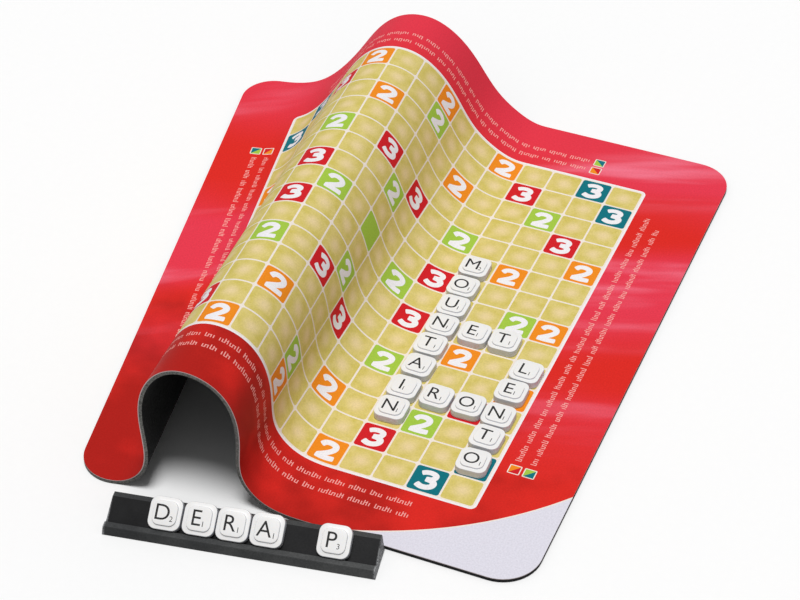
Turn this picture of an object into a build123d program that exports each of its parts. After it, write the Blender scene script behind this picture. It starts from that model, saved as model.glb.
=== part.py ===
"""Travel word game: a soft playing mat, letter tiles and a tile rack.

Millimetres, +Z up.  The origin is on the table, under the middle of the part
of the mat that lies flat.  X runs along the mat's front edge to the right and
Y runs to its back edge.  The left part of the mat stands up in an arch, tall
and narrow at the front edge and lower and wider at the back edge, and ends in
a flap that lies flat again, turned a little in plan.
"""

from build123d import *
import math
import os

# ---------------------------------------------------------------- playing mat
foam_thickness = 1.6         # the black rubber foam base
print_thickness = 0.4        # the printed fabric laminated on it
cell_pitch = 17.0            # one square of the printed grid
cells_per_side = 15
mat_margin = 37.5            # round the grid on three sides
right_margin = 40.4
corner_radius = 19.0
flat_columns = 4             # columns of squares on the part that lies flat
flat_run_out = 1.5           # that part goes on this far past the last column
flap_width = 19.6            # what lies flat again beyond the arch
front_drift = 10.4           # how far the front edge has moved forward at the flap
arch_strips = 40             # the bend, as straight strips from front to back

# The arch, as stations at equal steps along the sheet, from the flat part to
# the flap: how far each lies to the left of the flat part, and how far the
# sheet has risen there.  The arch is then scaled to the sheet left for it.
front_arch = [
    (0.0, 0.0), (18.0, 3.2), (29.0, 17.0), (29.0, 36.5), (30.5, 56.0), (40.0, 70.5),
    (57.0, 74.5), (71.0, 64.5), (76.5, 47.0), (75.0, 28.5), (76.5, 10.5), (91.5, 0.0),
]
back_arch = [
    (0.0, 0.0), (16.0, 5.5), (29.5, 17.0), (40.0, 32.5), (51.0, 47.0), (66.5, 57.0),
    (84.0, 56.0), (98.0, 45.0), (108.5, 29.5), (119.5, 15.0), (134.0, 4.0), (153.5, 0.0),
]

# ---------------------------------------------------------------- letter tile
tile_play = 1.8              # what a square leaves free beside a tile
tile_body_height = 4.0       # up to the shoulder that runs round the cap
tile_corner_radius = 3.2
tile_shoulder = 1.9          # the width of that shoulder
tile_cap_rise = 0.8          # the raised square that carries the letter
tile_cap_corner_radius = 1.95

# Tiles on the mat: name, column and row from the front left, how far the tile
# lies off the middle of its square to the right and the back, in tile plays,
# and its turn in degrees.
mat_tiles = [
    ("tile_01", 11, 9, -0.35, -1.70, 1.5), ("tile_02", 11, 8, -0.25, -1.70, -1.0),
    ("tile_03", 11, 7, 0.30, -1.20, 1.0), ("tile_04", 11, 6, 0.40, -0.50, -0.5),
    ("tile_05", 11, 5, 0.40, 0.15, 0.5), ("tile_06", 11, 4, 0.70, 0.35, -1.5),
    ("tile_07", 11, 3, 0.30, 0.25, 0.5), ("tile_08", 11, 2, 0.50, 0.90, 1.5),
    ("tile_09", 12, 6, 0.50, -0.25, 0.0), ("tile_10", 13, 6, -0.05, -0.15, 1.5),
    ("tile_11", 12, 3, 0.40, 0.20, -1.0), ("tile_12", 13, 3, 0.05, 0.40, 1.0),
    ("tile_13", 14, 5, 0.35, -0.30, -1.5), ("tile_14", 14, 4, -0.70, 0.30, 1.0),
    ("tile_15", 14, 3, -0.60, -0.45, 0.5), ("tile_16", 14, 2, -0.45, 0.00, -1.0),
    ("tile_17", 14, 1, -0.50, -0.05, 2.5),
]

# ------------------------------------------------------------------ tile rack
rack_length = 127.6
rack_height = 10.1           # at the back of the ridge behind the tiles
rack_front_height = 4.4      # the low front wall
rack_front_lean = 1.0
rack_ledge_width = 3.2       # the land on top of the front wall
rack_ledge_step = 2.4        # what stops a tile from sliding off
rack_seat_angle = 36.0       # the sloping seat, from the horizontal
rack_ridge_width = 2.7       # the land on top of the ridge
rack_ridge_fall = 0.4        # that land falls towards the seat
rack_back_lean = 0.4
rack_edge_radius = 0.4
rack_end_draft = 5.5         # degrees that the end walls lean in
rack_end_radius = 0.8        # the round along the top of each end wall
rack_wall = 1.2
rack_rib_count = 4
rack_rib_thickness = 1.2
rack_rib_gap = 0.4           # the ribs end this far above the table
rack_turn = 10.0             # the rack's angle to the mat's front edge, in plan
rack_mat_gap = 0.6           # from the rack's back right corner to that edge
rack_right_inset = 68.1      # that corner, from the mat's right edge

# Tiles on the rack: name, and places along it in tile pitches after the first.
rack_tile_gap = 0.4
rack_first_tile = 27.9       # from the rack's left end to the first tile's middle
rack_tiles = [("rack_tile_1", 0.0), ("rack_tile_2", 1.03), ("rack_tile_3", 2.04),
              ("rack_tile_4", 3.06), ("rack_tile_5", 5.05)]
tile_seat_gap = 0.1          # between a rack tile and the step that holds it

# ------------------------------------------------------- sizes that follow on
mat_side = cells_per_side * cell_pitch + 2 * mat_margin
mat_width = cells_per_side * cell_pitch + mat_margin + right_margin
mat_top = foam_thickness + print_thickness
flat_width = right_margin + flat_columns * cell_pitch + flat_run_out
flat_left = -flat_width / 2
flat_right = flat_width / 2
front_edge = -mat_side / 2
grid_right = flat_right - right_margin
grid_front = front_edge + mat_margin
arch_sheet = mat_width - flat_width - flap_width

tile_side = cell_pitch - tile_play
tile_cap_side = tile_side - 2 * tile_shoulder
tile_pitch_on_rack = tile_side + rack_tile_gap

seat_angle = math.radians(rack_seat_angle)
seat_foot_depth = rack_front_lean + rack_ledge_width + rack_ledge_step * math.sin(seat_angle)
seat_foot_height = rack_front_height - rack_ledge_step * math.cos(seat_angle)
seat_top_height = rack_height - rack_ridge_fall
seat_top_depth = seat_foot_depth + (seat_top_height - seat_foot_height) / math.tan(seat_angle)
ridge_depth = seat_top_depth + rack_ridge_width
rack_depth = ridge_depth + rack_back_lean


# ---------------------------------------------------------------- playing mat
def stations(scale):
    """The arch's stations along the front and the back edge, on the foam's top.

    The front edge drifts forward as the sheet turns in plan, and each back
    station lies one mat side from the front one.
    """
    front, back = [], []
    for index, (near, far) in enumerate(zip(front_arch, back_arch)):
        drift = front_drift * (index / (len(front_arch) - 1)) ** 2
        start = Vector(flat_left - scale * near[0], front_edge - drift,
                       foam_thickness + scale * near[1])
        x = flat_left - scale * far[0]
        z = foam_thickness + scale * far[1]
        across = (x - start.X) ** 2 + (z - start.Z) ** 2
        front.append(start)
        back.append(Vector(x, start.Y + math.sqrt(mat_side ** 2 - across), z))
    return front, back


def arch_edge(points, last_direction):
    """A smooth edge through stations, level where it meets the flat parts."""
    steps = len(points) - 1
    step = sum((b - a).length for a, b in zip(points, points[1:])) / steps
    return Edge.make_spline(
        points,
        tangents=[Vector(-step, 0, 0), last_direction * step],
        parameters=[float(index) for index in range(steps + 1)],
        scale=False,
    )


def flap_frame(front, back):
    """The flap's directions in plan: along its foot, and away from the arch."""
    along = (back[-1] - front[-1]).normalized()
    return along, Vector(-along.Y, along.X, 0)


def arch_edges(scale):
    """The arch's stations and its front and back edges."""
    front, back = stations(scale)
    away = flap_frame(front, back)[1]
    return front, back, arch_edge(front, away), arch_edge(back, away)


drawn_length = sum(edge.length for edge in arch_edges(1.0)[2:]) / 2
front_stations, back_stations, front_rail, back_rail = arch_edges(arch_sheet / drawn_length)
flap_along, flap_away = flap_frame(front_stations, back_stations)


def arch_rows(distance):
    """Points along the arch's front and back edges, off the foam's top."""
    front_row, back_row = [], []
    for index in range(arch_strips + 1):
        share = index / arch_strips
        front = front_rail @ share
        back = back_rail @ share
        for row, rail, point in ((front_row, front_rail, front), (back_row, back_rail, back)):
            up = (back - front).cross(rail % share).normalized()
            row.append(point + up * distance)
    return front_row, back_row


def ruled(start, end):
    """The straight-ruled face between two lines, each given by its ends."""
    return Face.make_surface_from_curves(Edge.make_line(*start), Edge.make_line(*end))


def arch_layer(lower, upper):
    """The arched part of one layer, between two distances from the foam's top."""
    low_front, low_back = arch_rows(lower)
    high_front, high_back = arch_rows(upper)
    faces = []
    for near, far in ((low_front, low_back), (high_front, high_back),
                      (low_front, high_front), (low_back, high_back)):
        for index in range(arch_strips):
            faces.append(ruled(near[index:index + 2], far[index:index + 2]))
    for end in (0, -1):
        faces.append(ruled((low_front[end], low_back[end]), (high_front[end], high_back[end])))
    return Solid(Shell(faces))


def flat_outline():
    """The part that lies flat, in plan, with the mat's two right corners."""
    outline = Rectangle(flat_width, mat_side)
    return fillet(outline.vertices().sort_by(Axis.X)[-2:], corner_radius)


def flap_outline():
    """The flap in plan, as wide at each edge as the sheet that is left there."""
    feet = [front_stations[-1], back_stations[-1]]
    widths = [mat_width - flat_width - rail.length for rail in (front_rail, back_rail)]
    corners = [foot + flap_away * width for foot, width in zip(feet, widths)]
    ring = [feet[0], feet[1], corners[1], corners[0]]
    outline = make_face(Polyline([(p.X, p.Y) for p in ring], close=True))
    rounded = ShapeList(
        outline.vertices().sort_by_distance((corner.X, corner.Y))[0] for corner in corners
    )
    return fillet(rounded, min(corner_radius, 0.95 * min(widths)))


def mat_layer(lower, upper):
    """One whole layer of the mat, as one solid."""
    floor = Pos(0, 0, foam_thickness + lower)
    flat = extrude(floor * flat_outline(), upper - lower)
    flap = extrude(floor * flap_outline(), upper - lower)
    return arch_layer(lower, upper) + flat + flap


# ---------------------------------------------------------------- letter tile
def letter_tile():
    """A moulded tile standing on the XY plane, its letter's top towards +Y."""
    body = extrude(RectangleRounded(tile_side, tile_side, tile_corner_radius), tile_body_height)
    cap = extrude(
        RectangleRounded(tile_cap_side, tile_cap_side, tile_cap_corner_radius),
        tile_body_height + tile_cap_rise,
    )
    return body + cap


# ------------------------------------------------------------------ tile rack
def rack_section(drop=0.0):
    """The rack's section, X from front to back and Y up.

    drop carries the two outer walls straight on below the table.
    """
    return make_face(Polyline([
        (-drop * rack_front_lean / rack_front_height, -drop),
        (rack_front_lean, rack_front_height),
        (rack_front_lean + rack_ledge_width, rack_front_height),
        (seat_foot_depth, seat_foot_height),
        (seat_top_depth, seat_top_height),
        (ridge_depth, rack_height),
        (rack_depth + drop * rack_back_lean / rack_height, -drop),
    ], close=True))


def along_rack(section, start, length):
    """A section, or part of one, extruded along the rack."""
    plane = Plane(origin=(start, 0, 0), x_dir=(0, 1, 0), z_dir=(1, 0, 0))
    return extrude(plane * section, length)


def tile_rack():
    """The rack in its own frame: X along it, Y from front to back."""
    section = rack_section()
    crests = section.vertices().filter_by_position(Axis.Y, rack_front_height - 0.01, rack_height)
    section = fillet(crests, rack_edge_radius)
    lean = rack_height * math.tan(math.radians(rack_end_draft))
    side = make_face(Polyline([(0, 0), (lean, rack_height), (rack_length - lean, rack_height),
                               (rack_length, 0)], close=True))
    side = fillet(side.vertices().sort_by(Axis.Y)[-2:], rack_end_radius)
    body = along_rack(section, 0, rack_length) & extrude(Plane.XZ * side, -rack_depth)

    hollow = offset(rack_section(drop=2 * rack_wall), -rack_wall, kind=Kind.INTERSECTION)
    end_wall = rack_wall + lean
    body -= along_rack(hollow, end_wall, rack_length - 2 * end_wall)

    clear_of_table = Pos(rack_depth / 2, rack_rib_gap + rack_height / 2) * Rectangle(
        rack_depth, rack_height)
    rib = hollow & clear_of_table
    for index in range(rack_rib_count):
        middle = rack_length * (index + 1) / (rack_rib_count + 1)
        body += along_rack(rib, middle - rack_rib_thickness / 2, rack_rib_thickness)
    return body


rack_place = (Pos(flat_right - rack_right_inset, front_edge - rack_mat_gap)
              * Rot(0, 0, rack_turn) * Pos(-rack_length, -rack_depth))


def on_rack(pitches):
    """The place of a tile on the rack, that many pitches after the first."""
    along = rack_first_tile + pitches * tile_pitch_on_rack
    seat = rack_place * Pos(along, seat_foot_depth, seat_foot_height) * Rot(rack_seat_angle, 0, 0)
    return seat * Pos(0, tile_seat_gap + tile_side / 2, 0)


def on_mat(column, row, right, back, turn):
    """The place of a tile in a square of the grid."""
    x = grid_right - (cells_per_side - column - 0.5) * cell_pitch + right * tile_play
    y = grid_front + (row + 0.5) * cell_pitch + back * tile_play
    return Pos(x, y, mat_top) * Rot(0, 0, turn)


# --------------------------------------------------------------------- output
nodes = {
    "mat_foam_base": mat_layer(-foam_thickness, 0.0),
    "mat_printed_face": mat_layer(0.0, print_thickness),
    "tile_rack": rack_place * tile_rack(),
}
tile = letter_tile()
for name, *place in mat_tiles:
    nodes[name] = on_mat(*place) * tile
for name, pitches in rack_tiles:
    nodes[name] = on_rack(pitches) * tile

os.makedirs("parts", exist_ok=True)
for name, shape in nodes.items():
    export_step(shape, f"parts/{name}.step")
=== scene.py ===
"""The looks of a travel word game: an arched playing mat, letter tiles and a tile rack.

Metres, +Z up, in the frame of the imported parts.  The mat's print is drawn in
the mat's own flat sheet, X from its left edge and Y from its front edge, cut
there, and then carried with the sheet over the arch.
"""

import math
from functools import cache, partial

import bpy
import numpy as np
from bpy.props import FloatProperty, FloatVectorProperty, IntProperty, PointerProperty
from mathutils import Matrix, Vector
from mathutils.geometry import delaunay_2d_cdt


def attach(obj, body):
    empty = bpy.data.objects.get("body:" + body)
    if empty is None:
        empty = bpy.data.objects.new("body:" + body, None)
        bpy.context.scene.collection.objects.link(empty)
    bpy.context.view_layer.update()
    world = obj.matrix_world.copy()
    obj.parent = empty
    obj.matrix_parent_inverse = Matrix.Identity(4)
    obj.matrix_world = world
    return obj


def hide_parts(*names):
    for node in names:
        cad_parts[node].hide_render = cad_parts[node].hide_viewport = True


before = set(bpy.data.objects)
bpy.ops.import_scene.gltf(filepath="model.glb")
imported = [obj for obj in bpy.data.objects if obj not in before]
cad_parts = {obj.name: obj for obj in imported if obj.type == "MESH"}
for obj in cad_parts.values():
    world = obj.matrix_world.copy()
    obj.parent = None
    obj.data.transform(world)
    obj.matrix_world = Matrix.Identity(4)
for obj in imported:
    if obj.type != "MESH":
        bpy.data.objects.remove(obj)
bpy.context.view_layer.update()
MM = 0.001

bl_info = {
    "name": "Travel Word Game",
    "version": (1, 0, 0),
    "blender": (4, 5, 0),
    "location": "3D View > Sidebar > Word Game",
    "description": "Dresses an arched playing mat, its letter tiles and their rack",
    "category": "Add Mesh",
}

# The arch, as stations at equal steps along the sheet, from the flat part to
# the flap: how far each lies to the left of the flat part, and how far the
# sheet has risen there, in millimetres.
FRONT_ARCH = [
    (0.0, 0.0), (18.0, 3.2), (29.0, 17.0), (29.0, 36.5), (30.5, 56.0), (40.0, 70.5),
    (57.0, 74.5), (71.0, 64.5), (76.5, 47.0), (75.0, 28.5), (76.5, 10.5), (91.5, 0.0),
]
BACK_ARCH = [
    (0.0, 0.0), (16.0, 5.5), (29.5, 17.0), (40.0, 32.5), (51.0, 47.0), (66.5, 57.0),
    (84.0, 56.0), (98.0, 45.0), (108.5, 29.5), (119.5, 15.0), (134.0, 4.0), (153.5, 0.0),
]

# Tiles on the mat, in the order of their names: column and row from the front
# left, how far the tile lies off the middle of its square to the right and
# the back, in tile plays, its turn in degrees, and its letter.
MAT_TILES = [
    (11, 9, -0.35, -1.70, 1.5, "M"), (11, 8, -0.25, -1.70, -1.0, "O"),
    (11, 7, 0.30, -1.20, 1.0, "U"), (11, 6, 0.40, -0.50, -0.5, "N"),
    (11, 5, 0.40, 0.15, 0.5, "T"), (11, 4, 0.70, 0.35, -1.5, "A"),
    (11, 3, 0.30, 0.25, 0.5, "I"), (11, 2, 0.50, 0.90, 1.5, "N"),
    (12, 6, 0.50, -0.25, 0.0, "E"), (13, 6, -0.05, -0.15, 1.5, "T"),
    (12, 3, 0.40, 0.20, -1.0, "R"), (13, 3, 0.05, 0.40, 1.0, "O"),
    (14, 5, 0.35, -0.30, -1.5, "L"), (14, 4, -0.70, 0.30, 1.0, "E"),
    (14, 3, -0.60, -0.45, 0.5, "N"), (14, 2, -0.45, 0.00, -1.0, "T"),
    (14, 1, -0.50, -0.05, 2.5, "O"),
]
# Tiles on the rack, in the same order: pitches after the first, and letter.
RACK_TILES = [(0.0, "D"), (1.03, "E"), (2.04, "R"), (3.06, "A"), (5.05, "P")]
# What a letter counts, where that isn't 1.
POINTS = {"D": "2", "M": "2", "P": "3"}

# Bonus squares, by how many squares they lie from the middle, the larger
# count first: their ink and numeral.
BONUS_SQUARES = {
    (0, 0): ("lime", ""), (2, 0): ("lime", "2"), (3, 3): ("lime", "2"), (6, 0): ("lime", "2"),
    (5, 5): ("lime", "2"), (5, 2): ("orange", "2"), (7, 3): ("orange", "2"), (3, 1): ("red", "3"),
    (6, 4): ("red", "3"), (7, 6): ("teal", "3"), (7, 0): ("orange", "2"),
}
INKS = ["field", "square", "line", "white", "lime", "orange", "red", "teal", "corner",
        "fine_print"]


# ---- settings
def linear(code):
    """An sRGB hex colour as linear red, green, blue and alpha."""
    parts = [int(code[place:place + 2], 16) / 255 for place in (1, 3, 5)]
    return [part / 12.92 if part <= 0.04045 else ((part + 0.055) / 1.055) ** 2.4
            for part in parts] + [1.0]


def length(name, description, millimetres):
    """A length that a user can change."""
    return FloatProperty(name=name, description=description, default=millimetres * MM,
                         unit="LENGTH", precision=5)


def degrees(name, description, default):
    """An angle that a user can change."""
    return FloatProperty(name=name, description=description, default=math.radians(default),
                         subtype="ANGLE")


def ink(name, description, code):
    """A colour that a user can change."""
    return FloatVectorProperty(name=name, description=description, default=linear(code),
                               subtype="COLOR", size=4, min=0.0, max=1.0)


class MatSizes(bpy.types.PropertyGroup):
    """The playing mat's sizes."""
    width: length("Width", "Along the front edge, laid flat", 332.9)
    side: length("Depth", "From the front edge to the back edge", 330.0)
    foam: length("Foam", "The foam base's thickness", 1.6)
    fabric: length("Fabric", "The printed fabric's thickness", 0.4)
    corner: length("Corner", "The rounding of the mat's corners", 19.0)
    flat_width: length("Flat part", "How much of the mat lies flat at the right", 109.9)
    flap_width: length("Flap", "How much lies flat again beyond the arch", 19.6)
    front_drift: length("Drift", "How far the front edge has moved forward at the flap", 10.4)
    margin: length("Margin", "The field at the left, the front and the back", 37.5)
    pitch: length("Square", "One square of the grid", 17.0)
    squares: IntProperty(name="Squares", description="Squares in each row", default=15)
    line: length("Line", "The white line between two squares", 0.95)
    border: length("Border", "The white border round the grid", 1.5)
    square_corner: length("Square corner", "The rounding of a printed square", 1.3)
    numeral: length("Numeral", "The height of a bonus square's numeral", 12.8)
    bends: IntProperty(name="Bends", description="Steps that it bends in", default=88)


class MatInks(bpy.types.PropertyGroup):
    """The colours that the mat is printed in."""
    field: ink("Field", "The field round the grid", "#d92a23")
    field_rose: ink("Field rose", "The broad rose bands in the field", "#e23a4e")
    field_pink: ink("Field pink", "The soft pink streaks in the field", "#f0788e")
    square: ink("Square", "A plain square", "#dbc97c")
    square_glow: ink("Square glow", "The middle of a plain square", "#e9d2a2")
    line: ink("Line", "The lines between the squares", "#eee4da")
    white: ink("White", "The border and the numerals", "#efedf0")
    lime: ink("Lime", "Lime bonus squares", "#a3c647")
    orange: ink("Orange", "Orange bonus squares", "#ee8c22")
    red: ink("Red", "Red bonus squares", "#cf2229")
    teal: ink("Teal", "Teal bonus squares", "#12707c")
    corner: ink("Corner", "The bare front right corner", "#dddbe6")
    fine_print: ink("Fine print", "The fine marks in the field", "#f2a8a2")


class TileSizes(bpy.types.PropertyGroup):
    """The letter tile's sizes."""
    side: length("Side", "The tile's side", 15.2)
    corner: length("Corner", "The rounding of its corners, from above", 3.8)
    shoulder_height: length("Shoulder height", "Up to the shoulder round the cap", 4.0)
    shoulder: length("Shoulder", "The shoulder's width", 1.9)
    cap_rise: length("Cap rise", "How far the cap stands above the shoulder", 0.8)
    cap_corner: length("Cap corner", "The rounding of the cap's corners, from above", 3.2)
    letter: length("Letter", "The height of the letter", 7.2)
    points: length("Points", "The height of the points", 2.5)


class RackSizes(bpy.types.PropertyGroup):
    """The tile rack's sizes and its place."""
    length: length("Length", "The rack's length", 127.6)
    depth: length("Depth", "The rack's depth on the table", 18.678)
    right_inset: length("Inset", "The rack's back right corner, from the mat's right edge", 68.1)
    mat_gap: length("Gap to the mat", "From that corner to the mat's front edge", 0.6)
    turn: degrees("Turn", "The rack's turn on the table", 10.0)
    seat_angle: degrees("Seat", "The slope of the seat", 36.0)
    seat_depth: length("Seat foot", "How far back the seat's foot lies", 5.611)
    seat_height: length("Seat foot height", "How high the seat's foot lies", 2.458)
    seat_gap: length("Seat gap", "Between a tile and the step that holds it", 0.1)
    first_tile: length("First tile", "From the rack's left end to the first tile's middle", 27.9)
    tile_gap: length("Tile gap", "Between two tiles", 0.4)


class StageLook(bpy.types.PropertyGroup):
    """The floor, the light and the camera."""
    floor: ink("Floor", "The pale floor", "#fbfbfb")
    sky: FloatProperty(name="Sky", description="The level of the even light", default=0.3)
    key: FloatProperty(name="Key", description="The level of the soft key lamp", default=2.3)
    lens: FloatProperty(name="Lens", description="The focal length in mm", default=100.46)


# ---- materials
# Settings that many nodes share.
SMOOTH = {"interpolation_type": "SMOOTHSTEP"}
COLOURS = {"data_type": "RGBA"}
FLAT = {"noise_dimensions": "2D"}


def set_inputs(node, *inputs, **named):
    """Sets a node's inputs, in order or by name: to a value, or to what they are linked from.

    That is an output, or a node for its first one in use.
    """
    used = [index for index, socket in enumerate(node.inputs) if socket.enabled]
    named = {name.replace("_", " "): value for name, value in named.items()}
    for name, value in {**dict(zip(used, inputs)), **named}.items():
        if isinstance(value, bpy.types.Node):
            value = next(output for output in value.outputs if output.enabled)
        if isinstance(value, bpy.types.NodeSocket):
            node.id_data.links.new(value, node.inputs[name])
        else:
            node.inputs[name].default_value = value


def add_node(tree, kind, *inputs, **named):
    """Adds a node with its inputs, and with its settings, which have lower-case names.

    A noise's inputs are its place, scale, detail and roughness, a map range's
    are the value, the range that it comes from and the one that it goes to,
    and a mix's are the share and the two colours.
    """
    made = tree.nodes.new("ShaderNode" + kind)
    for name in [name for name in named if name.islower()]:
        setattr(made, name, named.pop(name))
    set_inputs(made, *inputs, **named)
    return made


def finish_named(name):
    """A new material, the function that adds its nodes, and its shader."""
    made = bpy.data.materials.new(name)
    made.use_nodes = True
    made.node_tree.nodes.clear()
    add = partial(add_node, made.node_tree)
    shader = add("BsdfPrincipled")
    add("OutputMaterial", shader)
    return made, add, shader


def printed_jersey(name, colour):
    """Polyester jersey, dye-sublimation printed and laminated on foam.

    The eye gets a flat, even ink with the fine grain of the knit in it, and
    hardly any reflection.  The real stitch is 0.5 mm and too fine to show, so
    the grain is drawn at 0.9 mm.  Gives the sheet's place and the ink too.
    """
    made, add, shader = finish_named(name)
    sheet = add("UVMap", uv_map="sheet")
    stitch = add("TexNoise", sheet, 1 / (0.9 * MM), 2.0, 0.6, **FLAT)
    shade = add("MapRange", stitch, 0.25, 0.75, 0.93, 1.07)
    inked = add("VectorMath", colour[:3], shade, operation="SCALE")
    bump = add("Bump", Strength=0.35, Distance=0.12 * MM, Height=stitch)
    set_inputs(shader, Base_Color=inked, Normal=bump, Roughness=0.62, IOR=1.5,
               Specular_IOR_Level=0.06)
    return made, add, sheet, inked


def field_jersey(inks):
    """The red field: the same printed jersey, with soft rose bands and pink streaks, partly print
    and partly a painted sheen.

    The bands slant across the mat and fade out towards its front, and the far
    edge is all rose.  The red is darkened in soft patches towards the front and
    the left, a painted shade over the arch's front and its flap.
    """
    made, add, sheet, inked = printed_jersey("printed_jersey_field", inks.field)
    across, back, _ = add("SeparateXYZ", sheet).outputs
    share = add("MapRange", back, 60 * MM, 170 * MM, **SMOOTH)
    shares = []
    # The rose bands, and the pink streaks within them, partly print and partly a painted
    # sheen: how broad they are in millimetres, their detail, and between which noise
    # levels they come up.
    for breadth, detail, low, high in ((70.0, 0.5, 0.38, 0.58), (20.0, 3.0, 0.46, 0.78)):
        turned = add("Mapping", sheet, (0.0, 140 * MM, 0.0), (0.0, 0.0, math.radians(20.0)),
                     (7 * breadth * MM, breadth * MM, 1.0), vector_type="TEXTURE")
        band = add("TexNoise", turned, 1.0, detail, 0.5, **FLAT)
        share = add("Math", add("MapRange", band, low, high, **SMOOTH), share,
                    operation="MULTIPLY")
        shares.append(share)
    far_edge = add("MapRange", back, 262 * MM, 318 * MM, 0.0, 0.85, **SMOOTH)
    rosy = add("Math", shares[0], far_edge, operation="MAXIMUM")
    rose = add("Mix", rosy, inks.field, inks.field_rose, **COLOURS)
    pink = add("Mix", shares[1], rose, inks.field_pink, **COLOURS)
    # Painted shade: the red darkens in soft patches towards the front and the left, over the
    # arch's front and flap.
    slant = add("Math", across, 0.3, back, operation="MULTIPLY_ADD")
    painted_shade_patches = add("TexNoise", sheet, 1 / (26 * MM), 2.0, **FLAT)
    reach = add("Math", painted_shade_patches, 260 * MM, slant, operation="MULTIPLY_ADD")
    depth = add("MapRange", reach, 140 * MM, 300 * MM, 0.6, 1.0, **SMOOTH)
    set_inputs(inked, add("VectorMath", pink, depth, operation="SCALE"))
    return made


def square_jersey(inks, sizes):
    """The plain squares: printed jersey, with a glow in each one's middle and a fine mottle."""
    made, add, sheet, inked = printed_jersey("printed_jersey_square", inks.square)
    per_metre, start = 1 / sizes.pitch, -sizes.margin / sizes.pitch
    counted = add("VectorMath", sheet, (per_metre, per_metre, 0.0), (start, start, 0.0),
                  operation="MULTIPLY_ADD")
    within = add("VectorMath", counted, operation="FRACTION")
    away = add("VectorMath", within, (0.5, 0.5, 0.0), operation="DISTANCE")
    glow = add("MapRange", away, 0.0, 0.40, 0.85, 0.0, **SMOOTH)
    mottle = add("TexNoise", sheet, 1 / (7.0 * MM), 4.0, 0.65, **FLAT)
    patch = add("MapRange", mottle, 0.38, 0.66, 0.0, 0.75)
    olive = add("Mix", patch, inks.square, linear("#cbbb58"), **COLOURS)
    set_inputs(inked, add("Mix", glow, olive, inks.square_glow, **COLOURS))
    return made


def moulded_foam_skin():
    """Closed-cell foam rubber, cast against a textured belt.

    Near black and dull, with the belt's fine 1.2 mm stipple, which keeps the
    mat from sliding.
    """
    made, add, shader = finish_named("foam_rubber_belt_face")
    place = add("TexCoord").outputs["Object"]
    stipple = add("TexVoronoi", place, 1 / (1.2 * MM), voronoi_dimensions="3D")
    shade = add("MapRange", stipple, 0.0, 0.7, 0.035, 0.015)
    bump = add("Bump", Strength=0.5, Distance=0.2 * MM, Height=stipple, invert=True)
    set_inputs(shader, Base_Color=shade, Normal=bump, Roughness=0.82, IOR=1.5,
               Specular_IOR_Level=0.15)
    return made


def cut_foam_edge():
    """The same foam rubber where a steel-rule die has cut it.

    The cut opens the cells, which gives dark pits, drawn at 0.8 mm because the
    real cells are too fine to show.  Along the flat part the edge is near black,
    and left of it, over the arch, it is painted a paler grey: a painted light.
    """
    made, add, shader = finish_named("foam_rubber_die_cut")
    place = add("TexCoord").outputs["Object"]
    pits = add("TexNoise", place, 1 / (0.8 * MM), 3.0, 0.7)
    across = add("SeparateXYZ", place).outputs["X"]
    # Painted light: over the arch, left of the flat part, the edge turns a paler grey.
    painted_light_over_arch = add("MapRange", across, -40 * MM, -80 * MM, **SMOOTH)
    pale = add("Mix", painted_light_over_arch, linear("#232325"), linear("#8b8a86"), **COLOURS)
    deep = add("MapRange", pits, 0.35, 0.6, 0.35, 1.1)
    pitted = add("VectorMath", pale, deep, operation="SCALE")
    bump = add("Bump", Strength=0.6, Distance=0.2 * MM, Height=pits)
    set_inputs(shader, Base_Color=pitted, Normal=bump, Roughness=0.9, IOR=1.5,
               Specular_IOR_Level=0.2)
    return made


def moulded_white(name, clean, handled):
    """Injection-moulded ABS in white, from a lightly blasted mould.

    A soft satin plastic: a broad dull highlight, a faint mould texture of
    0.7 mm, and slightly duller patches where it has been handled.
    """
    made, add, shader = finish_named(name)
    place = add("TexCoord").outputs["Object"]
    grain, patch = [add("TexNoise", place, 1 / (size * MM), 2.0) for size in (0.7, 9.0)]
    warm = add("Mix", patch, linear(clean), linear(handled), **COLOURS)
    dull = add("MapRange", patch, 0.0, 1.0, 0.34, 0.46)
    bump = add("Bump", Strength=0.12, Distance=0.05 * MM, Height=grain)
    set_inputs(shader, Base_Color=warm, Roughness=dull, Normal=bump, IOR=1.54,
               Subsurface_Weight=0.08, Subsurface_Radius=(1.2 * MM, 1.0 * MM, 0.8 * MM))
    return made


def pad_printed_ink():
    """Black ink, pad printed on the tile: a thin dull film, slightly uneven."""
    made, add, shader = finish_named("pad_printed_black")
    uneven = add("TexNoise", add("TexCoord").outputs["Object"], 1 / (0.8 * MM), 3.0)
    shade = add("MapRange", uneven, 0.0, 1.0, 0.006, 0.02)
    set_inputs(shader, Base_Color=shade, Roughness=0.6, IOR=1.5, Specular_IOR_Level=0.2)
    return made


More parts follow.
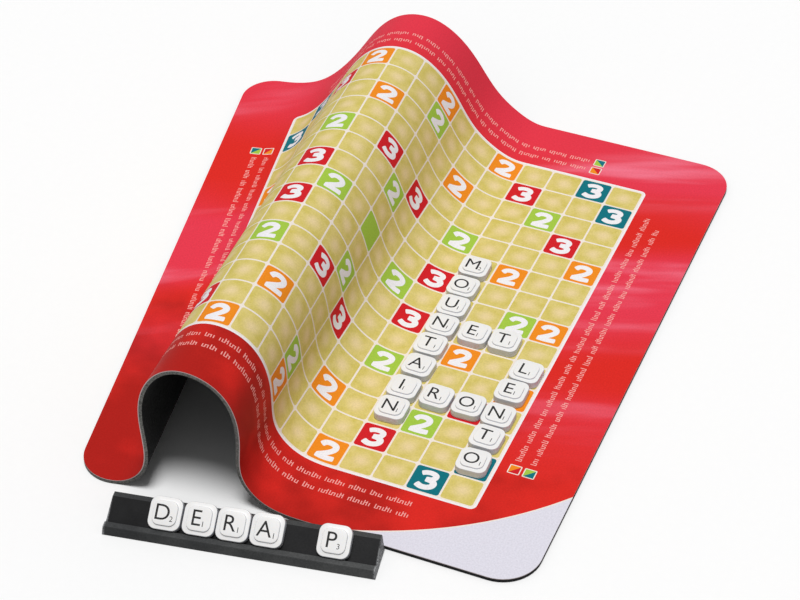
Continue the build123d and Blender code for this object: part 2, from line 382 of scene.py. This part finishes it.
def moulded_charcoal(place_of_rack, sizes):
    """Injection-moulded polystyrene in charcoal, from a spark-eroded mould.

    A dark dull plastic with a 0.8 mm grain and a little dust in the grain, greyer
    towards the right end.  The seat, picked by the way it faces, is painted
    blackest: a painted shade.  The lip and the front wall are a little paler, and
    the ends are painted pale in specks: a painted highlight.
    """
    made, add, shader = finish_named("polystyrene_moulded_charcoal")
    point = add("TexCoord")
    place = point.outputs["Object"]
    grain = add("TexNoise", place, 1 / (0.8 * MM), 4.0, 0.7)
    dust = add("TexNoise", place, 1 / (14.0 * MM), 3.0)
    own = add("Mapping", place, place_of_rack.to_translation(), place_of_rack.to_euler(),
              vector_type="TEXTURE")
    along, back, _ = add("SeparateXYZ", own).outputs
    # Greyer towards the rack's right end, and in patches of dust.
    dust_and_greying_to_right = add("Math", along, 0.4 / sizes.length, dust, operation="MULTIPLY_ADD")
    dusty = add("MapRange", dust_and_greying_to_right, 0.4, 0.95)
    # The walls, the paler front and the seat in painted shade, each clean and under dust.
    plain, paler_front, black = [
        add("Mix", dusty, linear(clean), linear(greyed), **COLOURS)
        for clean, greyed in (("#343536", "#464747"), ("#393a3b", "#515252"),
                              ("#111112", "#252526"))]
    # The lip and the front wall, in front of the seat's foot, are a little paler.
    handled = add("MapRange", back, sizes.seat_depth - 1.0 * MM, sizes.seat_depth - 1.8 * MM,
                  **SMOOTH)
    outer = add("Mix", handled, plain, paler_front, **COLOURS)
    # Painted shade: faces that look the seat's way are painted near black.
    off_seat = Vector((0.0, -math.sin(sizes.seat_angle), math.cos(sizes.seat_angle)))
    facing = add("VectorMath", point.outputs["Normal"], place_of_rack.to_3x3() @ off_seat,
                 operation="DOT_PRODUCT")
    seat = add("MapRange", facing, 0.985, 0.998, **SMOOTH)
    seat_in_painted_shade = add("Mix", seat, outer, black, **COLOURS)
    # Painted highlight: pale specks at both ends, where the end faces and their edges catch the
    # light.
    half = sizes.length / 2
    away = add("Math", add("Math", along, half, operation="SUBTRACT"), operation="ABSOLUTE")
    end = add("MapRange", away, half - 1.5 * MM, half - 0.3 * MM, 0.0, 0.9, **SMOOTH)
    highlight_specks = add("MapRange", grain, 0.34, 0.56, **SMOOTH)
    pale = add("Math", end, highlight_specks, operation="MULTIPLY")
    with_painted_highlight = add("Mix", pale, seat_in_painted_shade, linear("#a4a5a7"), **COLOURS)
    shade = add("MapRange", grain, 0.3, 0.7, 0.75, 1.25)
    grained = add("VectorMath", with_painted_highlight, shade, operation="SCALE")
    bump = add("Bump", Strength=0.35, Distance=0.08 * MM, Height=grain)
    dull = add("MapRange", dust, 0.0, 1.0, 0.42, 0.62)
    set_inputs(shader, Base_Color=grained, Normal=bump, Roughness=dull, IOR=1.59,
               Specular_IOR_Level=0.07)
    return made


def matt_paper(colour):
    """The studio's pale seamless paper: even, matt, with a faint fibre mottle.

    The light that it throws on the object is that of a mid-grey floor, which
    keeps the arch and the undersides of the edges as dark as they should be.
    """
    made, add, shader = finish_named("seamless_paper")
    fibre = add("TexNoise", add("TexCoord").outputs["Object"], 1 / (4.0 * MM), 3.0)
    shade = add("MapRange", fibre, 0.0, 1.0, 0.985, 1.005)
    paper = add("VectorMath", colour[:3], shade, operation="SCALE")
    bounce = add("LightPath").outputs["Is Diffuse Ray"]
    thrown = add("Mix", bounce, paper, linear("#808080"), **COLOURS)
    set_inputs(shader, Base_Color=thrown, Roughness=0.9, Specular_IOR_Level=0.1)
    return made


def studio_world(sky):
    """An even white sky, that strong as a light but plain white to the eye.

    Camera, transmission and glossy rays see it at full strength, so that the
    backdrop is white and soft reflections are bright; the rest see the light.
    """
    world = bpy.data.worlds.new("studio")
    world.use_nodes = True
    world.node_tree.nodes.clear()
    add = partial(add_node, world.node_tree)
    seen = add("LightPath").outputs
    through = add("Math", seen["Is Camera Ray"], seen["Is Transmission Ray"],
                  operation="MAXIMUM")
    either = add("Math", through, seen["Is Glossy Ray"], operation="MAXIMUM")
    even, white = [add("Background", linear("#ffffff"), strength) for strength in (sky, 1.0)]
    add("OutputWorld", add("MixShader", either, even, white))
    return world


# ---- the sheet
# Steps that an edge of the arch is measured in, between two stations; how far
# a ruling runs past the sheet, of its length; and the smallest distance
# between two points of the print, in metres.
RAIL_STEPS, PAST, NEAREST = 120, 0.01, 1e-7


def unit(vectors):
    """Each vector at a length of one."""
    return vectors / np.linalg.norm(vectors, axis=1)[:, None]


class ArchedSheet:
    """Carries a point of the flat sheet to its place on the arched mat."""

    def __init__(self, sizes):
        self.side, self.foam, self.drift = sizes.side, sizes.foam, sizes.front_drift
        self.arch_right, self.bend = -sizes.flat_width / 2, sizes.width - sizes.flat_width
        drawn = self.rails(1.0)
        meant = self.bend - sizes.flap_width
        self.front, self.back = self.rails(2 * meant / sum(rail["length"] for rail in drawn))

    def rails(self, scale):
        """The front and the back edge of the arch, at that scale."""
        front, back = [], []
        for index, stations in enumerate(zip(FRONT_ARCH, BACK_ARCH)):
            start, end = [Vector((self.arch_right - scale * left * MM, 0.0,
                                  self.foam + scale * up * MM)) for left, up in stations]
            start.y = -self.side / 2 - self.drift * (index / (len(FRONT_ARCH) - 1)) ** 2
            end.y = start.y + math.sqrt(
                self.side ** 2 - (end.x - start.x) ** 2 - (end.z - start.z) ** 2)
            front.append(start)
            back.append(end)
        along = (back[-1] - front[-1]).normalized()
        self.away = np.array((-along.y, along.x, 0.0))
        return [self.rail(np.array(points)) for points in (front, back)]

    def rail(self, points):
        """A smooth edge through stations, level where it meets the flat parts."""
        steps = len(points) - 1
        step = np.linalg.norm(np.diff(points, axis=0), axis=1).sum() / steps
        matrix = np.eye(steps + 1)
        slopes = points.copy()
        for index in range(1, steps):
            matrix[index, index - 1:index + 2] = (1, 4, 1)
            slopes[index] = 3 * (points[index + 1] - points[index - 1])
        slopes[0] = (-step, 0, 0)
        slopes[-1] = step * self.away
        slopes = np.linalg.solve(matrix, slopes)
        place = np.linspace(0, steps, RAIL_STEPS * steps + 1)
        first = np.minimum(place.astype(int), steps - 1)
        t = (place - first)[:, None]
        a, b, c, d = points[first], points[first + 1], slopes[first], slopes[first + 1]
        line = (a * (2 * t**3 - 3 * t**2 + 1) + b * (3 * t**2 - 2 * t**3)
                + c * (t**3 - 2 * t**2 + t) + d * (t**3 - t**2))
        way = ((a - b) * (6 * t**2 - 6 * t) + c * (3 * t**2 - 4 * t + 1) + d * (3 * t**2 - 2 * t))
        run = np.concatenate([[0], np.linalg.norm(np.diff(line, axis=0), axis=1).cumsum()])
        return {"length": run[-1], "share": run / run[-1], "line": line, "way": unit(way)}

    def place(self, flat, height):
        """Where points of the flat sheet lie, that far above the foam's top, and their normals."""
        across = flat[:, 1:] / self.side
        run = self.bend - flat[:, :1]
        arch = self.front["length"] * (1 - across) + self.back["length"] * across
        share = np.clip(run / arch, 0, 1)[:, 0]
        ends, ways = [[np.stack([np.interp(share, rail["share"], axis)
                                 for axis in rail[name].T], 1)
                       for rail in (self.front, self.back)] for name in ("line", "way")]
        reach = ends[1] - ends[0]
        for end, way in zip(ends, ways):
            end += unit(np.cross(reach, way)) * height
        place, way = [near * (1 - across) + far * across for near, far in (ends, ways)]
        place += np.maximum(-run, 0) * (1.0, 0.0, 0.0)
        place += np.maximum(run - arch, 0) * self.away
        return place, unit(np.cross(ends[1] - ends[0], way))

    def rulings(self, bends):
        """The straight lines of the flat sheet along which it bends, ends past its edges."""
        ends = [self.bend - rail["length"] * np.linspace(0, 1, bends + 1)
                for rail in (self.front, self.back)]
        return [[(near - (far - near) * PAST, -PAST * self.side),
                 (far + (far - near) * PAST, (1 + PAST) * self.side)] for near, far in zip(*ends)]


def box(low, high):
    """The corners of a rectangle, from its front left one, turning left."""
    return [low, (high[0], low[1]), high, (low[0], high[1])]


def arc(middle, radius, first, turn, steps):
    """Points along an arc from its first angle, in degrees, turning left."""
    angles = [math.radians(first + turn * step / steps) for step in range(steps + 1)]
    return [(middle[0] + radius * math.cos(angle), middle[1] + radius * math.sin(angle))
            for angle in angles]


def rounded_rectangle(low, high, radii, steps=6):
    """The same with rounded corners; the radii are one number or a list of four."""
    if isinstance(radii, float):
        radii = [radii] * 4
    outline = []
    for index, (radius, (x, y)) in enumerate(zip(radii, box(low, high))):
        middle = (x + (radius, -radius)[index in (1, 2)], y + (radius, -radius)[index in (2, 3)])
        outline += arc(middle, radius, 180 + 90 * index, 90, steps)
    return outline


def cut(regions, lines=()):
    """Cuts the first region along all the others and along the lines.

    Regions are (corners, finish), from the bottom of the print to its top.
    Gives the points, the triangles and each triangle's finish.
    """
    points, edges, faces = [], [], []
    for corners, _ in regions:
        faces.append(list(range(len(points), len(points) + len(corners))))
        points += corners
    for line in lines:
        edges.append((len(points), len(points) + 1))
        points += line
    corners, _, triangles, _, _, owners = delaunay_2d_cdt(
        [Vector(point) for point in points], edges, faces, 0, NEAREST)
    covered = [0.0] * len(regions)
    for triangle, owner in zip(triangles, owners):
        for number in owner:
            covered[number] += turning([corners[index] for index in triangle])
    slack, least = 0.02, MM ** 2
    for number, (outline, finish) in enumerate(regions):
        if abs(covered[number] - turning(outline)) > slack * turning(outline) + least:
            raise RuntimeError(f"region {number} of the print, {finish}, isn't cut whole")
    kept = [(list(triangle), regions[max(owner)][1])
            for triangle, owner in zip(triangles, owners) if 0 in owner]
    used = sorted({index for triangle, _ in kept for index in triangle})
    new = {index: place for place, index in enumerate(used)}
    flat = np.array([tuple(corners[index]) for index in used])
    return flat, [[new[index] for index in triangle] for triangle, _ in kept], [
        finish for _, finish in kept]


def open_edges(triangles):
    """The edges that only one triangle has, in its own direction."""
    found = dict.fromkeys(edge for triangle in triangles
                          for edge in zip(triangle, triangle[1:] + triangle[:1]))
    return [edge for edge in found if edge[::-1] not in found]


# The heavy numerals as broad strokes, in numeral heights round the middle:
# the points that each stroke follows, and how broad it is.  Then how far its
# rounded ends reach, of that breadth, and the angles of their corners.
NUMERALS = {
    "2": [([(-0.31, 0.20), (-0.20, 0.34), (0.02, 0.375), (0.21, 0.29), (0.23, 0.12),
            (0.10, -0.06), (-0.09, -0.22), (-0.28, -0.36)], 0.25),
          ([(-0.33, -0.365), (0.00, -0.385), (0.35, -0.36)], 0.25)],
    "3": [([(-0.31, 0.29), (-0.17, 0.36), (0.02, 0.38), (0.19, 0.32), (0.22, 0.20),
            (0.13, 0.08), (-0.07, 0.04)], 0.235),
          ([(-0.07, 0.03), (0.14, 0.00), (0.26, -0.12), (0.22, -0.27), (0.06, -0.365),
            (-0.15, -0.375), (-0.34, -0.29)], 0.255)],
}
END_REACH, END_ANGLES = 0.14, (0.6, 1.2, 1.94, 2.54)


def smooth_line(points, steps=6):
    """A smooth line through points, as many short runs."""
    points = np.array(points, float)
    ends = np.vstack([2 * points[0] - points[1], points, 2 * points[-1] - points[-2]])
    line = []
    for a, b, c, d in zip(ends, ends[1:], ends[2:], ends[3:]):
        for t in np.arange(steps) / steps:
            line.append(b + 0.5 * t * (c - a) + t**2 * (a - 2.5 * b + 2 * c - 0.5 * d)
                        + t**3 * (1.5 * b - 0.5 * a - 1.5 * c + 0.5 * d))
    return np.array(line + [points[-1]])


def numeral_strokes(numeral, height, middle):
    """The outlines of a heavy numeral's strokes, each with rounded ends."""
    outlines = []
    for points, width in NUMERALS[numeral]:
        line = smooth_line(points)
        way = unit(np.gradient(line, axis=0))
        side = np.stack([way[:, 1], -way[:, 0]], 1) * width / 2
        caps = []
        for end, ahead, beside in ((line[-1], way[-1], side[-1]), (line[0], -way[0], -side[0])):
            caps.append([end + beside * math.cos(angle)
                         + ahead * width * END_REACH * math.sin(angle) for angle in END_ANGLES])
        outline = [*(line + side), *caps[0], *(line - side)[::-1], *caps[1]]
        outlines.append([tuple(point * height + middle) for point in outline])
    return outlines


@cache
def letterform(text):
    """The closed outlines of a plain letter or digit, as high as one, round its middle.

    An outline runs to the left round ink, and to the right round a hole in it.
    """
    curve = bpy.data.curves.new("glyph", "FONT")
    curve.body, curve.fill_mode, curve.resolution_u = text, "NONE", 5
    drawn = linked(bpy.data.objects.new("glyph", curve))
    bpy.context.view_layer.update()
    mesh = bpy.data.meshes.new_from_object(
        drawn.evaluated_get(bpy.context.evaluated_depsgraph_get()))
    points = np.array([tuple(vertex.co)[:2] for vertex in mesh.vertices])
    low, high = points.min(0), points.max(0)
    points = (points - (low + high) / 2) / (high - low)[1]
    after = dict(tuple(edge.vertices) for edge in mesh.edges)
    outlines = []
    while after:
        outline = list(after.popitem())
        while outline[-1] in after:
            outline.append(after.pop(outline[-1]))
        outlines.append(points[outline[:-1]])
    if turning(max(outlines, key=lambda outline: abs(turning(outline)))) < 0:
        outlines = [outline[::-1] for outline in outlines]
    bpy.data.objects.remove(drawn)
    bpy.data.curves.remove(curve)
    bpy.data.meshes.remove(mesh)
    return outlines


def glyph(text, height, middle):
    """The letterform's outlines, of that height round that point."""
    return [[tuple(point) for point in outline * height + middle] for outline in letterform(text)]


def turning(corners):
    """The area inside a closed flat outline, below zero where it runs to the right."""
    x, y = np.array(corners).T
    return (x * np.roll(y, -1) - y * np.roll(x, -1)).sum() / 2


def inked(outlines):
    """Regions for a glyph's outlines: ink, and the plastic showing through its holes."""
    return ([(outline, 1) for outline in outlines if turning(outline) > 0]
            + [(outline[::-1], 0) for outline in outlines if turning(outline) < 0])


def show(name, points, faces, finishes, materials):
    """A new mesh object from points, faces and each face's finish."""
    mesh = bpy.data.meshes.new(name)
    mesh.from_pydata([tuple(point) for point in points], [], faces)
    for material in materials:
        mesh.materials.append(material)
    mesh.polygons.foreach_set("material_index", finishes)
    mesh.polygons.foreach_set("use_smooth", [True] * len(faces))
    mesh.update()
    return linked(bpy.data.objects.new(name, mesh))


def linked(made):
    """The object, in the scene."""
    bpy.context.scene.collection.objects.link(made)
    return made


# ---- the mat's print
def sheet_outline(sizes, sheet):
    """The mat's outline in the flat sheet; the flap leaves less room for its corners."""
    most, steps = 0.95, 12
    flap = sheet.bend - max(sheet.front["length"], sheet.back["length"])
    left = min(sizes.corner, most * flap)
    return rounded_rectangle((0.0, 0.0), (sizes.width, sizes.side),
                             [left, sizes.corner, sizes.corner, left], steps)


def bare_corner(sizes):
    """The bare front right corner and the fine line along its curved edge."""
    middle, radius, line = (189.0 * MM, 181.0 * MM), 187.0 * MM, 0.7 * MM
    first, turn, steps, past = -82.0, 46.0, 24, 60.0 * MM
    right = sizes.width + past
    regions = []
    for finish, grow in (("line", 0.0), ("corner", line)):
        edge = arc(middle, radius + grow, first, turn, steps)
        regions.append(([(edge[0][0], -past), (right, -past), (right, edge[-1][1]),
                         *edge[::-1]], finish))
    return regions


def fine_print(sizes):
    """Two rows of fine marks, and two small two-colour squares, along each side.

    They are drawn along the front, and moved on by quarter turns to the left.
    A mark is an upright, and most are joined to the next one at the top or
    the foot.  They come in words, whose lengths follow from a running count.
    """
    start, end, depths = 68.0 * MM, 262.0 * MM, (28.2 * MM, 20.8 * MM)
    pairs, key, rim, key_room = (("red", "orange"), ("teal", "lime")), 2.5 * MM, 0.5 * MM, 6.0 * MM
    pitch, gap, below, stroke = 1.3 * MM, 1.7 * MM, 1.0 * MM, 0.48 * MM
    heights = (2.1 * MM, 3.1 * MM, 2.1 * MM, 2.1 * MM, 2.8 * MM)
    join_start, join_end, join_up, join_high = 0.3 * MM, 1.5 * MM, (0.65 * MM, -1.0 * MM), 0.4 * MM
    regions = []
    for turns in range(4):
        for row, depth in enumerate(depths):
            low, high = (start - key, depth - key), (start + key, depth + key)
            a, b, c, d = box(low, high)
            drawn = [(rounded_rectangle((low[0] - rim, low[1] - rim),
                                        (high[0] + rim, high[1] + rim), rim, 2), "line"),
                     ([a, b, d], pairs[row][0]), ([b, c, d], pairs[row][1])]
            place, count = start + key_room, row * 3 + turns
            while place < end:
                marks = 4 + (count * 5 + count // 3) % 7
                for mark in range(marks):
                    foot = depth - below
                    strokes = [box((place, foot),
                                   (place + stroke, foot + heights[(mark * 3 + count) % 5]))]
                    join = (mark * 2 + count) % 3
                    if join < 2 and mark < marks - 1:
                        foot = depth + join_up[join]
                        strokes.append(box((place + join_start, foot),
                                           (place + join_end, foot + join_high)))
                    drawn += [(outline, "fine_print") for outline in strokes]
                    place += pitch
                place += gap
                count += 1
            for _ in range(turns):
                drawn = [([(sizes.side - y, x) for x, y in corners], finish)
                         for corners, finish in drawn]
            regions += drawn
    return regions


def print_regions(sizes, sheet):
    """The whole print, from the field up to the numerals."""
    regions = [(sheet_outline(sizes, sheet), "field"), *bare_corner(sizes), *fine_print(sizes)]
    end = sizes.margin + sizes.squares * sizes.pitch
    border_corner = 3.2 * MM
    for finish, out, corner in (("white", sizes.border, border_corner),
                                ("line", sizes.line / 2, sizes.square_corner)):
        regions.append((rounded_rectangle((sizes.margin - out,) * 2, (end + out,) * 2, corner),
                        finish))
    half = (sizes.pitch - sizes.line) / 2
    middle = sizes.squares // 2
    for column in range(sizes.squares):
        for row in range(sizes.squares):
            x = sizes.margin + (column + 0.5) * sizes.pitch
            y = sizes.margin + (row + 0.5) * sizes.pitch
            steps = sorted((abs(column - middle), abs(row - middle)), reverse=True)
            finish, numeral = BONUS_SQUARES.get(tuple(steps), ("square", ""))
            regions.append((rounded_rectangle((x - half, y - half), (x + half, y + half),
                                              sizes.square_corner, 3), finish))
            if numeral:
                regions += [(outline, "white")
                            for outline in numeral_strokes(numeral, sizes.numeral, (x, y))]
    return [(corners, INKS.index(finish)) for corners, finish in regions]


def laid(name, sheet, regions, lines, above, below, materials, closed):
    """The sheet cut along its regions and lines, between two heights over the foam's top.

    A wall of the last material runs round it, with points of its own, so that
    its edges stay sharp.  Only a closed piece has an underside.  Gives each
    point's place in the flat sheet too.
    """
    flat, triangles, finishes = cut(regions, lines)
    top, normals = sheet.place(flat, above)
    bottom, _ = sheet.place(flat, below)
    edges = open_edges(triangles)
    rim = sorted({index for edge in edges for index in edge})
    count = len(flat) * (1 + closed)
    high = {index: count + place for place, index in enumerate(rim)}
    low = {index: place + len(rim) for index, place in high.items()}
    faces = triangles + [[index + len(flat) for index in reversed(triangle)]
                         for triangle in triangles * closed]
    faces += [[low[a], low[b], high[b], high[a]] for a, b in edges]
    finishes = finishes * (1 + closed) + [len(materials) - 1] * len(edges)
    points = np.concatenate([top] + [bottom] * closed + [top[rim], bottom[rim]])
    made = show(name, points, faces, finishes, materials)
    outward = np.concatenate([normals] + [-normals] * closed + [np.zeros((2 * len(rim), 3))])
    starts, ends = np.array(edges).T
    sides = unit(np.cross(top[ends] - top[starts], normals[starts]))
    for (a, b), side in zip(edges, sides):
        for index in (high[a], high[b], low[a], low[b]):
            outward[index] += side
    made.data.normals_split_custom_set_from_vertices([tuple(way) for way in unit(outward)])
    return made, np.concatenate([flat] * (1 + closed) + [flat[rim], flat[rim]])


class WORDGAME_OT_printed_face(bpy.types.Operator):
    """Cuts the printed fabric along its print and lays it over the arch"""
    bl_idname = "word_game.printed_face"
    bl_label = "Printed face"

    def execute(self, context):
        sizes, inks = context.scene.word_game_mat, context.scene.word_game_inks
        sheet = ArchedSheet(sizes)
        plain = {"printed_jersey_" + name: getattr(inks, name) for name in INKS[2:]}
        plain["white_jersey_cut_edge"] = linear("#e9d9d8")
        materials = [field_jersey(inks), square_jersey(inks, sizes)]
        materials += [printed_jersey(name, colour)[0] for name, colour in plain.items()]
        made, flat = laid("printed_face", sheet, print_regions(sizes, sheet),
                          sheet.rulings(sizes.bends), sizes.fabric, 0.0, materials, False)
        corner_points = np.zeros(len(made.data.loops), int)
        made.data.loops.foreach_get("vertex_index", corner_points)
        layer = made.data.uv_layers.new(name="sheet")
        layer.data.foreach_set("uv", flat[corner_points].ravel())
        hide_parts("mat_printed_face")
        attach(made, "mat")
        float(turning(sheet_outline(sizes, sheet)))
        return {"FINISHED"}


class WORDGAME_OT_foam_base(bpy.types.Operator):
    """Makes the foam base that carries the printed fabric over the arch"""
    bl_idname = "word_game.foam_base"
    bl_label = "Foam base"

    def execute(self, context):
        sizes = context.scene.word_game_mat
        sheet = ArchedSheet(sizes)
        past, bond = 10.0 * MM, 0.02 * MM
        across = [[(-past, place * sizes.side), (sizes.width + past, place * sizes.side)]
                  for place in np.linspace(0.05, 0.95, 10)]
        made, _ = laid("foam_base", sheet, [(sheet_outline(sizes, sheet), 0)],
                       sheet.rulings(sizes.bends) + across, -bond, -sizes.foam,
                       [moulded_foam_skin(), cut_foam_edge()], True)
        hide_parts("mat_foam_base")
        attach(made, "mat")
        return {"FINISHED"}


# ---- letters
# The tile's section, in millimetres: how far in from the side and how high
# above the table, and then above the shoulder.  Round the cap, how far in from
# the shoulder's width and how high, of the cap's rise.
TILE_FOOT = ((0.40, 0.0), (0.12, 0.1), (0.0, 0.4), (0.0, 0.8))
TILE_SHOULDER = ((0.0, -0.42), (0.04, -0.22), (0.12, -0.09), (0.26, -0.02), (0.5, 0.0))
TILE_CAP = ((-0.12, -0.02), (-0.02, 0.03), (0.02, 0.14), (0.07, 0.72), (0.12, 0.88),
            (0.22, 0.97), (0.42, 1.0))


def tile_rings(sizes):
    """The tile's section, as rings: how far each lies in from the side, its corner and height."""
    top = sizes.shoulder_height
    rings = [(inset * MM, sizes.corner - inset * MM, start + up * MM)
             for start, section in ((0.0, TILE_FOOT), (top, TILE_SHOULDER))
             for inset, up in section]
    rings += [(sizes.shoulder + ahead * MM, sizes.cap_corner - 0.7 * ahead * MM,
               top + up * sizes.cap_rise) for ahead, up in TILE_CAP]
    return rings


def letter_tile(name, sizes, letter, place, materials):
    """One moulded tile in its place, with its letter and its points printed on the cap.

    The letter stands a little to the left of the middle, and the points right
    of its foot.  The finishes are the top, the ink and the sides.
    """
    half, steps = sizes.side / 2, 6
    around = 4 * (steps + 1)
    rings = tile_rings(sizes)
    points = [(x, y, height) for inset, radius, height in rings
              for x, y in rounded_rectangle((inset - half,) * 2, (half - inset,) * 2, radius,
                                            steps)]
    faces, finishes = [], []
    for level, (low, high) in enumerate(zip(rings, rings[1:])):
        # Steep faces, the sides and the cap's step, take the greyer side plastic: painted shade.
        steep = high[2] - low[2] > high[0] - low[0]
        finishes += [2 if steep else 0] * around
        ring = range(level * around, (level + 1) * around)
        faces += [[index, after, after + around, index + around]
                  for index, after in zip(ring, [*ring[1:], ring[0]])]
    faces.append(list(range(around))[::-1])
    finishes.append(0)
    first, height = len(points) - around, rings[-1][2]
    cap = [(x, y) for x, y, _ in points[first:]]
    middle, gap, farthest, sharp = (-1.1 * MM, 0.3 * MM), 1.1 * MM, 4.4 * MM, math.radians(38)
    drawn = glyph(letter, sizes.letter, middle)
    right = max(x for outline in drawn for x, _ in outline)
    small = glyph(POINTS.get(letter, "1"), sizes.points, (
        min(right + gap, farthest), middle[1] - sizes.letter / 2 + 0.4 * sizes.points))
    flat, triangles, inks = cut([(cap, 0), *inked(drawn), *inked(small)])
    touching, number = 0.001 * MM, []
    for x, y in flat:
        away = np.hypot(*(np.array(cap) - (x, y)).T)
        if away.min() < touching:
            number.append(first + int(away.argmin()))
        else:
            number.append(len(points))
            points.append((float(x), float(y), height))
    faces += [[number[index] for index in triangle] for triangle in triangles]
    made = show("letter_" + name, points, faces, finishes + inks, materials)
    made.data.set_sharp_from_angle(angle=sharp)
    made.data.transform(place)
    made.data.update()
    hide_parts(name)
    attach(made, name)


def tile_materials():
    """The tile's plastic on top, its ink, and the same plastic at the sides, painted greyer as
    painted shade.
    """
    found = bpy.data.materials.get
    return [found("abs_moulded_top") or moulded_white("abs_moulded_top", "#efeeed", "#e8e7e6"),
            found("pad_printed_black") or pad_printed_ink(),
            found("abs_moulded_side") or moulded_white("abs_moulded_side", "#ccced3", "#bec0c5")]


class WORDGAME_OT_mat_tiles(bpy.types.Operator):
    """Lays the letter tiles in their squares"""
    bl_idname = "word_game.mat_tiles"
    bl_label = "Tiles on the mat"

    def execute(self, context):
        mat, sizes = context.scene.word_game_mat, context.scene.word_game_tile
        materials = tile_materials()
        play = mat.pitch - sizes.side
        grid_left = mat.margin + mat.flat_width / 2 - mat.width
        for number, (column, row, right, back, turn, letter) in enumerate(MAT_TILES, 1):
            place = Matrix.Translation((
                grid_left + (column + 0.5) * mat.pitch + right * play,
                mat.margin - mat.side / 2 + (row + 0.5) * mat.pitch + back * play,
                mat.foam + mat.fabric)) @ Matrix.Rotation(math.radians(turn), 4, "Z")
            letter_tile(f"tile_{number:02d}", sizes, letter, place, materials)
        return {"FINISHED"}


def rack_place(mat, rack):
    """The rack's own frame, X along it from its left end and Y from its front to its back."""
    return (Matrix.Translation((mat.flat_width / 2 - rack.right_inset,
                                -mat.side / 2 - rack.mat_gap, 0.0))
            @ Matrix.Rotation(rack.turn, 4, "Z")
            @ Matrix.Translation((-rack.length, -rack.depth, 0.0)))


class WORDGAME_OT_rack_tiles(bpy.types.Operator):
    """Stands the letter tiles on the rack's seat"""
    bl_idname = "word_game.rack_tiles"
    bl_label = "Tiles on the rack"

    def execute(self, context):
        sizes, rack = context.scene.word_game_tile, context.scene.word_game_rack
        materials = tile_materials()
        own = rack_place(context.scene.word_game_mat, rack)
        for number, (pitches, letter) in enumerate(RACK_TILES, 1):
            along = rack.first_tile + pitches * (sizes.side + rack.tile_gap)
            seat = (own @ Matrix.Translation((along, rack.seat_depth, rack.seat_height))
                    @ Matrix.Rotation(rack.seat_angle, 4, "X")
                    @ Matrix.Translation((0.0, rack.seat_gap + sizes.side / 2, 0.0)))
            letter_tile(f"rack_tile_{number}", sizes, letter, seat, materials)
        return {"FINISHED"}


class WORDGAME_OT_tile_rack(bpy.types.Operator):
    """Gives the rack its moulded charcoal finish"""
    bl_idname = "word_game.tile_rack"
    bl_label = "Tile rack"

    def execute(self, context):
        sizes, materials = context.scene.word_game_rack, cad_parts["tile_rack"].data.materials
        materials.clear()
        materials.append(moulded_charcoal(rack_place(context.scene.word_game_mat, sizes), sizes))
        return {"FINISHED"}


# ---- stage
# In metres: how far the floor reaches and how far below the object it lies,
# and where the camera stands.  The lamp and the camera look along their ways,
# and the lamp's spread softens the shadows.
FLOOR_REACH, FLOOR_DROP = 4.0, 0.0003
KEY_WAY, KEY_SPREAD = (-0.03, 0.15, -1.0), math.radians(20.0)
CAMERA_PLACE, CAMERA_WAY = (0.26003, -0.80377, 0.73859), (-0.2927, 0.7031, -0.6481)


def aimed(name, data, way, place=(0.0, 0.0, 0.0)):
    """A lamp or a camera in its place, looking that way."""
    made = linked(bpy.data.objects.new(name, data))
    made.location = place
    made.rotation_euler = Vector(way).to_track_quat("-Z", "Y").to_euler()
    return made


class WORDGAME_OT_stage(bpy.types.Operator):
    """Makes the pale floor, the soft light and the camera"""
    bl_idname = "word_game.stage"
    bl_label = "Stage"

    def execute(self, context):
        look = context.scene.word_game_stage
        corners = box((-FLOOR_REACH,) * 2, (FLOOR_REACH,) * 2)
        show("floor", [(x, y, -FLOOR_DROP) for x, y in corners], [[0, 1, 2, 3]], [0],
                      [matt_paper(look.floor)])
        context.scene.world = studio_world(look.sky)
        lamp = bpy.data.lights.new("key", "SUN")
        lamp.energy, lamp.angle = look.key, KEY_SPREAD
        aimed("key", lamp, KEY_WAY)
        lens = bpy.data.cameras.new("camera")
        lens.lens, lens.sensor_width = look.lens, 36.0
        lens.clip_start, lens.clip_end = 0.01, 20.0
        context.scene.camera = aimed("camera", lens, CAMERA_WAY, CAMERA_PLACE)
        context.scene.view_settings.view_transform = "Standard"
        return {"FINISHED"}


OPERATORS = [WORDGAME_OT_stage, WORDGAME_OT_foam_base, WORDGAME_OT_printed_face,
             WORDGAME_OT_mat_tiles, WORDGAME_OT_rack_tiles, WORDGAME_OT_tile_rack]


class WORDGAME_PT_panel(bpy.types.Panel):
    """Lists the pieces of the word game"""
    bl_idname = "WORDGAME_PT_panel"
    bl_label = "Word Game"
    bl_space_type = "VIEW_3D"
    bl_region_type = "UI"
    bl_category = "Word Game"

    def draw(self, context):
        for operator in OPERATORS:
            self.layout.operator(operator.bl_idname)
        for name in GROUPS:
            settings, group = getattr(context.scene, name), self.layout.box()
            for key in settings.__annotations__:
                group.prop(settings, key)


GROUPS = {"word_game_mat": MatSizes, "word_game_inks": MatInks, "word_game_tile": TileSizes,
          "word_game_rack": RackSizes, "word_game_stage": StageLook}


def register():
    """Registers the settings, the operators and the panel."""
    for made in (*GROUPS.values(), *OPERATORS, WORDGAME_PT_panel):
        bpy.utils.register_class(made)
    for name, group in GROUPS.items():
        setattr(bpy.types.Scene, name, PointerProperty(type=group))


def unregister():
    """Takes them out again."""
    for name in GROUPS:
        delattr(bpy.types.Scene, name)
    for made in (WORDGAME_PT_panel, *reversed(OPERATORS), *GROUPS.values()):
        bpy.utils.unregister_class(made)


def main():
    """Makes every piece."""
    register()
    bpy.ops.word_game.stage()
    bpy.ops.word_game.foam_base()
    bpy.ops.word_game.printed_face()
    bpy.ops.word_game.mat_tiles()
    bpy.ops.word_game.rack_tiles()
    bpy.ops.word_game.tile_rack()


if __name__ == "__main__":
    main()
